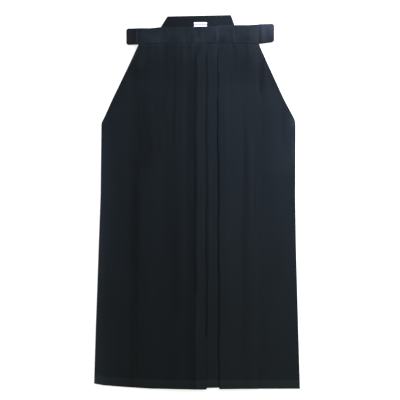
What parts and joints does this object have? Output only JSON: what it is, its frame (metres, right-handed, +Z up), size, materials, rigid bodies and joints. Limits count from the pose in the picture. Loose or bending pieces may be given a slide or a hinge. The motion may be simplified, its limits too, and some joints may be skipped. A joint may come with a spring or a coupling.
{
  "type": "hakama trousers",
  "caption": "Pleated kendo hakama trousers laid flat, front upwards, with waistband, stiff back board and ties folded under.",
  "frame": {"origin": "centre of the garment's bounding box, on the surface that it lies on", "axes": "+Z up from the surface, out of the garment's front; +Y from the hem towards the back board; +X across, from the viewer's left to the right"},
  "size_m": [0.5185, 0.9419, 0.0227],
  "materials": {
    "trouser_cloth": "matte woven navy cloth",
    "band_cloth": "woven navy cloth folded double",
    "label_cloth": "smooth woven label"
  },
  "bodies": {
    "root": {"front_left": "trouser_cloth", "front_right": "trouser_cloth", "back_left": "trouser_cloth", "back_right": "trouser_cloth", "crotch_gusset": "trouser_cloth", "front_waistband": "band_cloth", "back_board": "band_cloth", "front_tie_left": "band_cloth", "front_tie_right": "band_cloth", "back_tie_left": "band_cloth", "back_tie_right": "band_cloth", "label": "label_cloth"}
  },
  "joints": []
}
